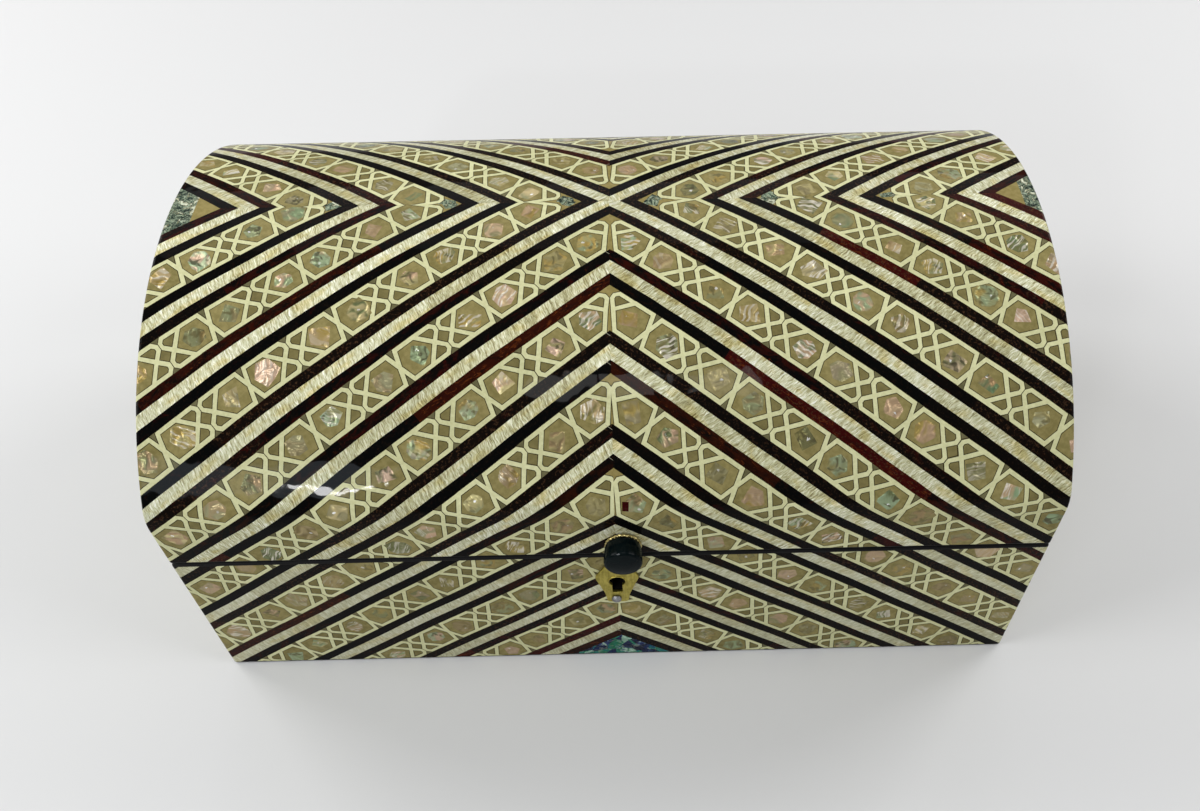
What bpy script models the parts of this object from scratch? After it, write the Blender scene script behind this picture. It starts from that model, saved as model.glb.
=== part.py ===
"""A rectangular wooden box with a low domed lift-off lid, a turned pull knob and a brass keyhole plate.

Metres, +Z up. The origin is at the middle of the underside, and the front faces -Y.
"""
import math

import bmesh
import bpy
from mathutils import Matrix, Vector

# Outer form
WIDTH = 0.300
DEPTH = 0.1976
HEIGHT = 0.141
BASE_HEIGHT = 0.0682
SHOULDER_HEIGHT = 0.092
DOME_SWEEP = math.radians(56.8)
SHOULDER_ROUND = 0.0045
EDGE_ROUND = 0.0012

# Wood
WALL = 0.008
FLOOR = 0.008
CROWN = 0.008
LIP_WIDTH = 0.0035
LIP_HEIGHT = 0.003
LIP_FIT = 0.0004

# The gap kept between two pieces that touch
GAP = 0.0003

# Pull knob on the lid's front
KNOB_X = 0.004
KNOB_ABOVE_RIM = 0.0064
KNOB_RADIUS = 0.0065
KNOB_SEAT_RADIUS = 0.0061
KNOB_LENGTH = 0.0076
KNOB_CROWN = 0.0006
KNOB_EDGE_ROUND = 0.0014
TENON_RADIUS = 0.0022
TENON_LENGTH = 0.005
RING_RADIUS = 0.0064
RING_WAVE = 0.00018
RING_WAVES = 26
RING_THICKNESS = 0.0013
RING_ROUND = 0.0003

# Keyhole plate on the base's front
PLATE_X = 0.00135
PLATE_BELOW_RIM = 0.0022
PLATE_HEIGHT = 0.0254
PLATE_THICKNESS = 0.001
PLATE_TOP_HALF = 0.0022
PLATE_SHOULDER_HALF = 0.0078
PLATE_SHOULDER_DROP = 0.0098
PLATE_FOOT_HALF = 0.0037
PLATE_WAIST_HALF = 0.0044
PLATE_CORNER_ROUND = 0.0014
PLATE_EDGE_ROUND = 0.0002
KEYHOLE_RADIUS = 0.0028
KEYHOLE_DROP = 0.0123
KEYHOLE_SLOT_HALF = 0.00175
KEYHOLE_SLOT_LENGTH = 0.0066
KEYHOLE_DEPTH = 0.0055

# Pin at the plate's foot
PIN_X = 0.00085
PIN_ABOVE_FOOT = 0.0023
PIN_HEAD_RADIUS = 0.0018
PIN_HEAD_HEIGHT = 0.0011
PIN_SHANK_RADIUS = 0.0007
PIN_SHANK_LENGTH = 0.005

# Fineness of the curved faces
DOME_STEPS = 36
ROUND_STEPS = 5
TURN_STEPS = 40
CIRCLE_STEPS = 32

# Places worked out from the sizes above
HALF_WIDTH = WIDTH / 2
HALF_DEPTH = DEPTH / 2
FRONT = -HALF_DEPTH
LID_BOTTOM = BASE_HEIGHT + GAP
CAVITY_HALF_WIDTH = HALF_WIDTH - WALL
CAVITY_HALF_DEPTH = HALF_DEPTH - WALL
LIP_HALF_WIDTH = CAVITY_HALF_WIDTH + LIP_WIDTH
LIP_HALF_DEPTH = CAVITY_HALF_DEPTH + LIP_WIDTH
LIP_TOP = BASE_HEIGHT + LIP_HEIGHT
KNOB_Z = LID_BOTTOM + KNOB_ABOVE_RIM
PLATE_TOP = BASE_HEIGHT - PLATE_BELOW_RIM
PLATE_FOOT = PLATE_TOP - PLATE_HEIGHT
KEYHOLE_Z = PLATE_TOP - KEYHOLE_DROP
PIN_Z = PLATE_FOOT + PIN_ABOVE_FOOT
CUT_MARGIN = 0.002

# A drawing plane whose x runs along the box's Y, whose y is up and whose depth is the box's width
SECTION_PLANE = Matrix(((0, 0, 1, 0), (1, 0, 0, 0), (0, 1, 0, 0), (0, 0, 0, 1)))
# A drawing plane on the box's front: x to the right, y up, depth towards the viewer
FRONT_PLANE = Matrix(((1, 0, 0, 0), (0, 0, -1, 0), (0, 1, 0, 0), (0, 0, 0, 1)))


def clear_scene():
    """Remove every object and collection that the file starts with."""
    for item in list(bpy.data.objects):
        bpy.data.objects.remove(item, do_unlink=True)
    for group in list(bpy.data.collections):
        bpy.data.collections.remove(group)


def new_collection(name):
    """Make a collection in the scene."""
    group = bpy.data.collections.new(name)
    bpy.context.scene.collection.children.link(group)
    return group


def new_material(name, colour, roughness, metallic):
    """Make a plain surface with one colour."""
    material = bpy.data.materials.new(name)
    material.use_nodes = True
    shader = material.node_tree.nodes["Principled BSDF"]
    shader.inputs["Base Color"].default_value = (*colour, 1.0)
    shader.inputs["Roughness"].default_value = roughness
    shader.inputs["Metallic"].default_value = metallic
    return material


def place(item, group):
    """Move an object into one collection only."""
    for holder in list(item.users_collection):
        holder.objects.unlink(item)
    group.objects.link(item)


def set_cutter(item):
    """Keep a cutting shape out of the picture."""
    item.hide_render = True
    item.display_type = "WIRE"


def box(name, group, low, high):
    """Make a box between two corners, with its scale applied."""
    low = Vector(low)
    high = Vector(high)
    bpy.ops.mesh.primitive_cube_add(size=1.0, location=(low + high) / 2)
    item = bpy.context.object
    item.name = name
    item.data.name = name
    item.data.transform(Matrix.Diagonal((*(high - low), 1.0)))
    place(item, group)
    return item


def slab(name, group, outlines, half_depth, plane, offset):
    """Extrude flat closed outlines by half_depth each way, on a drawing plane moved by offset."""
    curve = bpy.data.curves.new(name + "_outline", "CURVE")
    curve.dimensions = "2D"
    curve.fill_mode = "BOTH"
    curve.extrude = half_depth
    for outline in outlines:
        spline = curve.splines.new("POLY")
        spline.points.add(len(outline) - 1)
        for point, (x, y) in zip(spline.points, outline):
            point.co = (x, y, 0.0, 1.0)
        spline.use_cyclic_u = True
    guide = bpy.data.objects.new(name + "_outline", curve)
    group.objects.link(guide)
    guide.matrix_world = Matrix.Translation(offset) @ plane
    bpy.context.view_layer.update()
    evaluated = guide.evaluated_get(bpy.context.evaluated_depsgraph_get())
    mesh = bpy.data.meshes.new_from_object(evaluated)
    mesh.name = name
    work = bmesh.new()
    work.from_mesh(mesh)
    bmesh.ops.remove_doubles(work, verts=work.verts, dist=1e-6)
    bmesh.ops.dissolve_limit(work, angle_limit=0.001, verts=work.verts, edges=work.edges)
    bmesh.ops.recalc_face_normals(work, faces=work.faces)
    work.to_mesh(mesh)
    work.free()
    item = bpy.data.objects.new(name, mesh)
    group.objects.link(item)
    item.matrix_world = guide.matrix_world.copy()
    bpy.data.objects.remove(guide, do_unlink=True)
    return item


def turned(name, group, profile, origin):
    """Turn a profile of (radius, distance out of the front) pairs round an axis that points to -Y."""
    mesh = bpy.data.meshes.new(name)
    points = [(radius, 0.0, out) for radius, out in profile]
    edges = [(index, index + 1) for index in range(len(points) - 1)]
    mesh.from_pydata(points, edges, [])
    item = bpy.data.objects.new(name, mesh)
    group.objects.link(item)
    item.matrix_world = Matrix.Translation(origin) @ Matrix.Rotation(math.radians(90), 4, "X")
    screw = item.modifiers.new("turn", "SCREW")
    screw.steps = TURN_STEPS
    screw.render_steps = TURN_STEPS
    screw.use_merge_vertices = True
    screw.merge_threshold = 0.00001
    screw.use_smooth_shade = True
    return item


def bevel(item, width, segments, angle):
    """Round the edges that are sharper than an angle in degrees."""
    modifier = item.modifiers.new("round edges", "BEVEL")
    modifier.width = width
    modifier.segments = segments
    modifier.limit_method = "ANGLE"
    modifier.angle_limit = math.radians(angle)


def cut(item, cutter, operation="DIFFERENCE"):
    """Cut one solid with another, or join it on."""
    set_cutter(cutter)
    modifier = item.modifiers.new(cutter.name, "BOOLEAN")
    modifier.operation = operation
    modifier.solver = "EXACT"
    modifier.object = cutter


def arc(centre, radius, start, end, steps):
    """Points on a circle between two angles in degrees."""
    points = []
    for index in range(steps + 1):
        angle = math.radians(start + (end - start) * index / steps)
        points.append((centre[0] + radius * math.cos(angle), centre[1] + radius * math.sin(angle)))
    return points


def circle(radius):
    """Points round a circle about the drawing's middle."""
    return arc((0.0, 0.0), radius, 0, 360 - 360 / CIRCLE_STEPS, CIRCLE_STEPS - 1)


def soften(outline, reach, steps):
    """Round every corner of a closed outline, starting at reach before it and ending at reach after it."""
    points = []
    count = len(outline)
    for index in range(count):
        corner = Vector(outline[index])
        before = Vector(outline[index - 1]) - corner
        after = Vector(outline[(index + 1) % count]) - corner
        start = corner + before.normalized() * min(reach, before.length / 2.1)
        end = corner + after.normalized() * min(reach, after.length / 2.1)
        for step in range(steps + 1):
            t = step / steps
            point = start * (1 - t) ** 2 + corner * 2 * t * (1 - t) + end * t ** 2
            points.append((point.x, point.y))
    return points


def dome_point(angle, inset_side, inset_top):
    """A point on the dome's ellipse at an angle from the ridge, moved in by the wood's thickness."""
    across = HALF_DEPTH / math.sin(DOME_SWEEP)
    rise = (HEIGHT - SHOULDER_HEIGHT) / (1 - math.cos(DOME_SWEEP))
    middle = HEIGHT - rise
    return ((across - inset_side) * math.sin(angle), middle + (rise - inset_top) * math.cos(angle))


def dome_section(bottom, half_depth, inset):
    """The closed outline of the lid's cross-section: upright sides, rounded shoulders and the dome."""
    across = HALF_DEPTH / math.sin(DOME_SWEEP) - inset
    sweep = math.asin(half_depth / across)
    shoulder = Vector(dome_point(sweep, inset, inset))
    reach_angle = SHOULDER_ROUND / across
    side = [(half_depth, bottom)]
    start = Vector((half_depth, shoulder.y - SHOULDER_ROUND))
    end = Vector(dome_point(sweep - reach_angle, inset, inset))
    for step in range(ROUND_STEPS + 1):
        t = step / ROUND_STEPS
        point = start * (1 - t) ** 2 + shoulder * 2 * t * (1 - t) + end * t ** 2
        side.append((point.x, point.y))
    half_steps = DOME_STEPS // 2
    for step in range(1, half_steps):
        side.append(dome_point((sweep - reach_angle) * (1 - step / half_steps), inset, inset))
    ridge = [dome_point(0.0, inset, inset)]
    return side + ridge + [(-y, z) for y, z in reversed(side)]


def keyhole_outline():
    """A round head with a straight slot below it, centred on the head."""
    half = KEYHOLE_SLOT_HALF
    corner = math.degrees(math.asin(half / KEYHOLE_RADIUS))
    head = arc((0.0, 0.0), KEYHOLE_RADIUS, -90 + corner, 270 - corner, CIRCLE_STEPS)
    return head + [(-half, -KEYHOLE_SLOT_LENGTH), (half, -KEYHOLE_SLOT_LENGTH)]


def plate_outline():
    """The keyhole plate: a narrow top, sloping shoulders and sides that draw in to a flat foot."""
    waist = (PLATE_WAIST_HALF, -PLATE_HEIGHT + (PLATE_HEIGHT - PLATE_SHOULDER_DROP) / 3)
    right = [
        (PLATE_TOP_HALF, 0.0),
        (PLATE_SHOULDER_HALF, -PLATE_SHOULDER_DROP),
        waist,
        (PLATE_FOOT_HALF, -PLATE_HEIGHT),
    ]
    left = [(-x, y) for x, y in reversed(right)]
    return soften(right + left, PLATE_CORNER_ROUND, ROUND_STEPS)


def ring_outline():
    """The beaded outer edge of the ring behind the knob."""
    points = []
    steps = RING_WAVES * 4
    for index in range(steps):
        angle = 2 * math.pi * index / steps
        radius = RING_RADIUS - RING_WAVE * (1 - math.cos(angle * RING_WAVES)) / 2
        points.append((radius * math.cos(angle), radius * math.sin(angle)))
    return points


def knob_profile():
    """The knob from its domed front to its tenon, as (radius, distance out of the lid) pairs."""
    seat = GAP + RING_THICKNESS + GAP
    edge_out = seat + KNOB_LENGTH - KNOB_CROWN
    flat = KNOB_RADIUS - KNOB_EDGE_ROUND
    profile = []
    for step in range(ROUND_STEPS):
        radius = flat * step / ROUND_STEPS
        profile.append((radius, edge_out + KNOB_CROWN * (1 - (radius / flat) ** 2)))
    centre = (flat, edge_out - KNOB_EDGE_ROUND)
    profile += arc(centre, KNOB_EDGE_ROUND, 90, 0, ROUND_STEPS)
    profile.append((KNOB_RADIUS, seat + KNOB_LENGTH / 3))
    profile.append((KNOB_SEAT_RADIUS, seat))
    profile.append((TENON_RADIUS, seat))
    profile.append((TENON_RADIUS, -TENON_LENGTH))
    profile.append((0.0, -TENON_LENGTH))
    return profile


def pin_profile():
    """The pin's domed head and its shank, as (radius, distance out of the base) pairs."""
    seat = GAP + PLATE_THICKNESS + GAP
    profile = []
    for step in range(ROUND_STEPS + 1):
        angle = math.radians(90 * step / ROUND_STEPS)
        profile.append((PIN_HEAD_RADIUS * math.sin(angle), seat + PIN_HEAD_HEIGHT * math.cos(angle)))
    profile.append((PIN_SHANK_RADIUS, seat))
    profile.append((PIN_SHANK_RADIUS, -PIN_SHANK_LENGTH))
    profile.append((0.0, -PIN_SHANK_LENGTH))
    return profile


def make_base(parts, cutters):
    """The lower box: walls, floor, the rim's lip, the keyhole's pocket and the pin's hole."""
    base = box("base", parts, (-HALF_WIDTH, FRONT, 0.0), (HALF_WIDTH, HALF_DEPTH, BASE_HEIGHT))
    bevel(base, EDGE_ROUND, 3, 30)
    lip = box("lip_block", cutters, (-LIP_HALF_WIDTH, -LIP_HALF_DEPTH, FLOOR / 2),
              (LIP_HALF_WIDTH, LIP_HALF_DEPTH, LIP_TOP))
    cut(base, lip, "UNION")
    cavity = box("base_cavity", cutters, (-CAVITY_HALF_WIDTH, -CAVITY_HALF_DEPTH, FLOOR),
                 (CAVITY_HALF_WIDTH, CAVITY_HALF_DEPTH, LIP_TOP + CUT_MARGIN))
    cut(base, cavity)
    pocket_half = (KEYHOLE_DEPTH + CUT_MARGIN) / 2
    pocket_y = FRONT + KEYHOLE_DEPTH - pocket_half
    pocket = slab("keyhole_pocket", cutters, [keyhole_outline()], pocket_half, FRONT_PLANE,
                  (PLATE_X, pocket_y, KEYHOLE_Z))
    cut(base, pocket)
    hole_depth = PIN_SHANK_LENGTH + GAP
    hole_half = (hole_depth + CUT_MARGIN) / 2
    hole = slab("pin_hole", cutters, [circle(PIN_SHANK_RADIUS + GAP)], hole_half,
                FRONT_PLANE, (PIN_X, FRONT + hole_depth - hole_half, PIN_Z))
    cut(base, hole)
    return base


def make_lid(parts, cutters):
    """The cover: upright sides and a low dome, hollow below, with a rebate for the lip."""
    lid = slab("lid", parts, [dome_section(LID_BOTTOM, HALF_DEPTH, 0.0)], HALF_WIDTH, SECTION_PLANE,
               (0.0, 0.0, 0.0))
    bevel(lid, EDGE_ROUND, 3, 40)
    hollow = slab("lid_cavity", cutters, [dome_section(LID_BOTTOM - CUT_MARGIN, CAVITY_HALF_DEPTH, CROWN)],
                  CAVITY_HALF_WIDTH, SECTION_PLANE, (0.0, 0.0, 0.0))
    cut(lid, hollow)
    rebate = box("lip_rebate", cutters,
                 (-LIP_HALF_WIDTH - LIP_FIT, -LIP_HALF_DEPTH - LIP_FIT, LID_BOTTOM - CUT_MARGIN),
                 (LIP_HALF_WIDTH + LIP_FIT, LIP_HALF_DEPTH + LIP_FIT, LIP_TOP + LIP_FIT))
    cut(lid, rebate)
    hole_depth = TENON_LENGTH + GAP
    hole_half = (hole_depth + CUT_MARGIN) / 2
    hole = slab("tenon_hole", cutters, [circle(TENON_RADIUS + GAP)], hole_half,
                FRONT_PLANE, (KNOB_X, FRONT + hole_depth - hole_half, KNOB_Z))
    cut(lid, hole)
    return lid


def make_knob(parts):
    """The turned pull knob."""
    return turned("knob", parts, knob_profile(), (KNOB_X, FRONT, KNOB_Z))


def make_ring(parts):
    """The beaded ring between the knob and the lid."""
    bore = circle(TENON_RADIUS + GAP)
    middle = FRONT - GAP - RING_THICKNESS / 2
    ring = slab("knob_ring", parts, [ring_outline(), bore], RING_THICKNESS / 2, FRONT_PLANE,
                (KNOB_X, middle, KNOB_Z))
    bevel(ring, RING_ROUND, 2, 60)
    return ring


def make_plate(parts, cutters):
    """The brass plate with its keyhole and its hole for the pin."""
    middle = FRONT - GAP - PLATE_THICKNESS / 2
    plate = slab("keyhole_plate", parts, [plate_outline()], PLATE_THICKNESS / 2, FRONT_PLANE,
                 (PLATE_X, middle, PLATE_TOP))
    bevel(plate, PLATE_EDGE_ROUND, 2, 40)
    through = PLATE_THICKNESS / 2 + GAP
    keyhole = slab("plate_keyhole", cutters, [keyhole_outline()], through, FRONT_PLANE,
                   (PLATE_X, middle, KEYHOLE_Z))
    cut(plate, keyhole)
    hole = slab("plate_pin_hole", cutters, [circle(PIN_SHANK_RADIUS + GAP)], through,
                FRONT_PLANE, (PIN_X, middle, PIN_Z))
    cut(plate, hole)
    return plate


def make_pin(parts):
    """The round-headed pin that holds the plate's foot."""
    return turned("plate_pin", parts, pin_profile(), (PIN_X, FRONT, PIN_Z))


def finish(item, material, smooth):
    """Give a piece its material and, where it is round, smooth shading."""
    item.data.materials.clear()
    item.data.materials.append(material)
    if smooth:
        item.data.shade_smooth()


def main():
    clear_scene()
    parts = new_collection("shell_box")
    cutters = new_collection("cutters")
    inlaid_base = new_material("base_inlay", (0.30, 0.27, 0.19), 0.15, 0.0)
    inlaid_lid = new_material("lid_inlay", (0.32, 0.29, 0.21), 0.15, 0.0)
    black = new_material("knob_black", (0.012, 0.014, 0.015), 0.12, 0.0)
    ring_brass = new_material("ring_brass", (0.62, 0.50, 0.24), 0.3, 1.0)
    plate_brass = new_material("plate_brass", (0.55, 0.50, 0.22), 0.35, 1.0)
    steel = new_material("pin_steel", (0.42, 0.42, 0.43), 0.35, 1.0)
    finish(make_base(parts, cutters), inlaid_base, False)
    finish(make_lid(parts, cutters), inlaid_lid, False)
    finish(make_knob(parts), black, True)
    finish(make_ring(parts), ring_brass, False)
    finish(make_plate(parts, cutters), plate_brass, False)
    finish(make_pin(parts), steel, True)
    bpy.context.view_layer.update()


main()
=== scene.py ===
"""The looks of the shell box: star and chevron inlay under clear lacquer, fittings, floor, light and camera.

The base and the lid are each one closed skin of the solid's own form. The inlay is drawn as flat outlines on
the unrolled surface, in millimetres, cut into one mesh and then rolled back onto the box.
"""
import math
import random

import bmesh
import bpy
import numpy as np
from mathutils import Matrix, Vector
from mathutils.geometry import delaunay_2d_cdt


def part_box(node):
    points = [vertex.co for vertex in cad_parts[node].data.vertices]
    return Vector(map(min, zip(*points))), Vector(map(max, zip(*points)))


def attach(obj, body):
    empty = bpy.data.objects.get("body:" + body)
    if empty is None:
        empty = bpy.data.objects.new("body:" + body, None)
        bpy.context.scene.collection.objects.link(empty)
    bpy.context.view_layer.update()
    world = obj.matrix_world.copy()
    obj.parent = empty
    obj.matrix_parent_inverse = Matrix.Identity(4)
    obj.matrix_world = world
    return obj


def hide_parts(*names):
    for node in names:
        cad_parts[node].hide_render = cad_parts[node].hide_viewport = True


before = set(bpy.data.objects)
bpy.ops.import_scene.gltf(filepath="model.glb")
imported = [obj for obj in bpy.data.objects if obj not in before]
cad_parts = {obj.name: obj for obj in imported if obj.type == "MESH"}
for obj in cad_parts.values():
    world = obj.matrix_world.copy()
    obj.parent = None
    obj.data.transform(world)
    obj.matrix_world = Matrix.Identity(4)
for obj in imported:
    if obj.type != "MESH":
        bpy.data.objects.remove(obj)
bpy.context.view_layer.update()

MM = 0.001
BODY = "root"

# Form of the solids, in millimetres
LID_LOW, LID_HIGH = (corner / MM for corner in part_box("lid"))
HALF_WIDTH = LID_HIGH.x
HALF_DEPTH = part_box("base")[1].y / MM
HEIGHT = LID_HIGH.z
LID_BOTTOM = LID_LOW.z
BASE_HEIGHT = 68.2
SHOULDER_HEIGHT = 92.0
DOME_SWEEP = math.radians(56.8)
SHOULDER_ROUND = 4.5
EDGE_ROUND = 1.2
WALL = 8.0
FLOOR = 8.0
CROWN = 8.0
LIP_WIDTH = 3.5
LIP_HEIGHT = 3.0
LIP_FIT = 0.4

# Fineness of the curved faces
ARC_SAMPLES = 2001
DOME_STEPS = 32
SHOULDER_STEPS = 8
ROUND_STEPS = 4
ROUND_ARC = EDGE_ROUND * math.pi / 2
FLAT_HALF_WIDTH = HALF_WIDTH - EDGE_ROUND
FLAT_HALF_DEPTH = HALF_DEPTH - EDGE_ROUND
SHEET_END = FLAT_HALF_WIDTH + ROUND_ARC

# The dome's ellipse
ACROSS = HALF_DEPTH / math.sin(DOME_SWEEP)
RISE = (HEIGHT - SHOULDER_HEIGHT) / (1 - math.cos(DOME_SWEEP))
DOME_MIDDLE = HEIGHT - RISE

# Inlay, in millimetres along the unrolled surface
SLANT = math.radians(36.52)
CENTRE_X = 1.7
CENTRE_S = 0.75
PERIOD = 24.61
PEARL_HALF = 2.1
BLACK_EDGE = 5.75
BORDER_IN = 0.8
LINE_HALF = 0.71
OUTLINE = 0.27
UNDERLAP = 1.0
TIP_FILLER = 9.0
RED_BIT = [(4.3, 110.8), (6.4, 110.9), (6.3, 114.6), (4.2, 114.4)]
HAND_SWAY = 0.16
HAND_SHAKE = 0.07
CHIP_U = 6.9
CHIP_CORNERS = (4, 4, 5, 6, 7)
CHIP_RADIUS = (3.6, 4.9)
CHIP_REACH = (0.78, 1.08)
CHIP_UNEVEN = 0.2
CHIP_ASIDE = (0.6, 0.5)
TIP_CHIP = (3.2, 3.4)
TIP_CHIP_BLUE = 0.4
UNIT = 34.15
UNIT_UNEVEN = 0.25
FIRST_UNEVEN = 0.5
SEAM_U = 17.08
STRIP_STEP = 6.15
DARK_STEPS = (6, 16)
PEARL_STEPS = (3, 8)
FIRST_FRONT = 24.6
FIRST_FRONT_STEP = 17.9
FIRST_SIDE = 32.3
BASE_SHIFT = 1.6
RIDGE_LAST = -4
FRONT_LAST = 6
END_FIRST = -2
END_LAST = 5
BAND_HEIGHT = PERIOD - 2 * BLACK_EDGE - 2 * BORDER_IN
BAND_MIDDLE = BAND_HEIGHT / 2
END_APEX_Z = HEIGHT + 4.0
GLUE_SHARE = 0.6
GLUE_REACH = 2.2
GLUE_WIDTH = 0.16
GLUE_ACROSS = 0.4
NEUTRAL = (0.5, 0.5, 0.5)
GRAIN_SEEDS = 40.0

# Seeds of the random draws, one for each face
LID_SHEET_SEED = 11
LID_END_SEED = 12
BASE_SHEET_SEEDS = (21, 22)
BASE_END_SEED = 32

# Tolerances: drawing in millimetres, weld in metres, area in square metres, slack at an edge's two ends
DRAWING_MERGE = 1e-4
WELD = 1e-6
FLAT_AREA = 1e-11
SLACK = 1e-6

# Keyhole in the base's front
PLATE_X = 1.35
KEYHOLE_Z = 53.7
KEYHOLE_RADIUS = 2.8
KEYHOLE_SLOT_HALF = 1.75
KEYHOLE_SLOT_LENGTH = 6.6
KEYHOLE_DEPTH = 5.5
KEYHOLE_STEPS = 32
PLAIN_HALF = 4
PLAIN_FOOT = 8
LIP_RADIUS = 0.3
LIP_STEP = 0.5

# Twisted ring behind the knob
ROPE_RADIUS = 0.6
ROPE_GROOVE = 0.32
ROPE_TURNS = 26
ROPE_STEPS = 312
TUBE_SIDES = 16

# The camera, worked out from the box's corners and seam
CAMERA_PLACE = (10.8, -300.6, 360.6)
YAW, PITCH, ROLL = 0.0134, 0.893, -0.0119
LENS = 31.18
LENS_SHIFT = (-0.0421, 0.0600)

# Lamps: name, direction, distance, size, power and colour
WHITE = (1.0, 1.0, 1.0)
SOFT = (0.6, 0.6)
LAMPS = [("left_lamp", (-0.8, -0.2, 0.65), 1.4, SOFT, 7.8, WHITE),
         ("right_lamp", (0.85, -0.25, 0.65), 1.4, SOFT, 4.9, WHITE),
         ("left_back_lamp", (-0.75, 0.45, 0.55), 1.4, SOFT, 7.4, WHITE),
         ("right_back_lamp", (0.75, 0.45, 0.55), 1.4, SOFT, 6.8, WHITE),
         ("back_lamp", (0.0, 0.72, 0.7), 1.7, (1.8, 1.0), 5.4, WHITE),
         ("shoulder_glow", (-0.42, -0.76, 0.5), 1.3, (0.40, 0.26), 2.1, (0.8, 0.9, 1.0)),
         ("shoulder_line", (-0.33, -0.82, 0.45), 1.2, (0.10, 0.03), 1.5, WHITE)]

# The panes of a window that mirrors faintly in the dome
LAMPS += [("window_%d" % index, (across, -0.411, 0.912), 2.0, (0.13, 0.3), 1.1, WHITE)
          for index, across in enumerate((-0.09, 0.0, 0.09))]


def add_object(name, data):
    """A new object in the scene."""
    item = bpy.data.objects.new(name, data)
    bpy.context.scene.collection.objects.link(item)
    return item


def arc_table():
    """Angles from the ridge and the length of the dome's arc up to each."""
    angles = np.linspace(0.0, DOME_SWEEP, ARC_SAMPLES)
    out = ACROSS * np.sin(angles)
    up = RISE * np.cos(angles)
    lengths = np.concatenate([[0.0], np.cumsum(np.hypot(np.diff(out), np.diff(up)))])
    return angles, lengths


ARC_ANGLES, ARC_LENGTHS = arc_table()
SHOULDER_S = float(ARC_LENGTHS[-1])


def wall_s(z):
    """Distance from the ridge, along the surface, to a height on the upright wall."""
    return SHOULDER_S + SHOULDER_HEIGHT - z


def round_rows(start_s, centre_z, first, last):
    """Rows of (s, out, z, normal out, normal z) round an edge, between two angles above the horizon."""
    rows = []
    for step in range(ROUND_STEPS + 1):
        share = step / ROUND_STEPS
        angle = math.radians(first + (last - first) * share)
        out = FLAT_HALF_DEPTH + EDGE_ROUND * math.cos(angle)
        z = centre_z + EDGE_ROUND * math.sin(angle)
        rows.append((start_s + ROUND_ARC * share, out, z, math.cos(angle), math.sin(angle)))
    return rows


def lid_rows():
    """Half of the lid's section: dome, rounded shoulder, wall and lower edge."""
    start = DOME_SWEEP - SHOULDER_ROUND / ACROSS
    rows = []
    for angle in np.linspace(0.0, start, DOME_STEPS + 1):
        normal = Vector((math.sin(angle) / ACROSS, math.cos(angle) / RISE)).normalized()
        s = float(np.interp(angle, ARC_ANGLES, ARC_LENGTHS))
        rows.append((s, ACROSS * math.sin(angle), DOME_MIDDLE + RISE * math.cos(angle), *normal))
    first = Vector(rows[-1][1:3])
    corner = Vector((HALF_DEPTH, SHOULDER_HEIGHT))
    last = Vector((HALF_DEPTH, SHOULDER_HEIGHT - SHOULDER_ROUND))
    start_s, end_s = rows[-1][0], SHOULDER_S + SHOULDER_ROUND
    for step in range(1, SHOULDER_STEPS + 1):
        t = step / SHOULDER_STEPS
        point = first * (1 - t) ** 2 + corner * 2 * t * (1 - t) + last * t ** 2
        along = ((corner - first) * (1 - t) + (last - corner) * t).normalized()
        rows.append((start_s + (end_s - start_s) * t, point.x, point.y, -along.y, along.x))
    low = LID_BOTTOM + EDGE_ROUND
    return rows + round_rows(wall_s(low), low, 0, -90)


def base_rows():
    """The base wall's section: upper edge, wall and lower edge."""
    high = BASE_HEIGHT - EDGE_ROUND
    upper = round_rows(wall_s(high) - ROUND_ARC, high, 90, 0)
    return upper + round_rows(wall_s(EDGE_ROUND), EDGE_ROUND, 0, -90)


def front_section(rows):
    """Section rows on the front, as an array of (s, y, z, normal y, normal z)."""
    return np.array([(s, -out, z, -n_out, n_z) for s, out, z, n_out, n_z in rows])


def back_section(rows):
    """Section rows on the back, where s is negative."""
    return np.array([(-s, out, z, n_out, n_z) for s, out, z, n_out, n_z in reversed(rows)])


def section_at(section, s):
    """Place and normal of a section at s, between its rows."""
    return [np.interp(s, section[:, 0], section[:, column]) for column in range(1, 5)]


def on_sheet(points, section):
    """Roll unrolled points onto a section, and over the rounded edges at the box's two ends."""
    x, s = points[:, 0], points[:, 1]
    y, z, n_y, n_z = section_at(section, s)
    turn = np.clip(np.abs(x) - FLAT_HALF_WIDTH, 0.0, None) / EDGE_ROUND
    sink = EDGE_ROUND * (1 - np.cos(turn))
    side = np.sign(x)
    out = np.minimum(np.abs(x), FLAT_HALF_WIDTH) + EDGE_ROUND * np.sin(turn)
    places = np.stack([side * out, y - n_y * sink, z - n_z * sink], 1)
    normals = np.stack([side * np.sin(turn), n_y * np.cos(turn), n_z * np.cos(turn)], 1)
    return places, normals


def on_end(points, side, low, high):
    """Put points of (y, s) on an end wall, bent over the rounded edges below low and above high."""
    y, z = points[:, 0], END_APEX_Z - points[:, 1]
    under = np.clip(low - z, 0.0, None) / EDGE_ROUND
    over = np.clip(z - high, 0.0, None) / EDGE_ROUND
    turn = under + over
    x = side * (FLAT_HALF_WIDTH + EDGE_ROUND * np.cos(turn))
    places_z = np.clip(z, low, high) + EDGE_ROUND * (np.sin(over) - np.sin(under))
    places = np.stack([x, y, places_z], 1)
    normals = np.stack([side * np.cos(turn), 0.0 * y, np.sin(over) - np.sin(under)], 1)
    return places, normals


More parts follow.
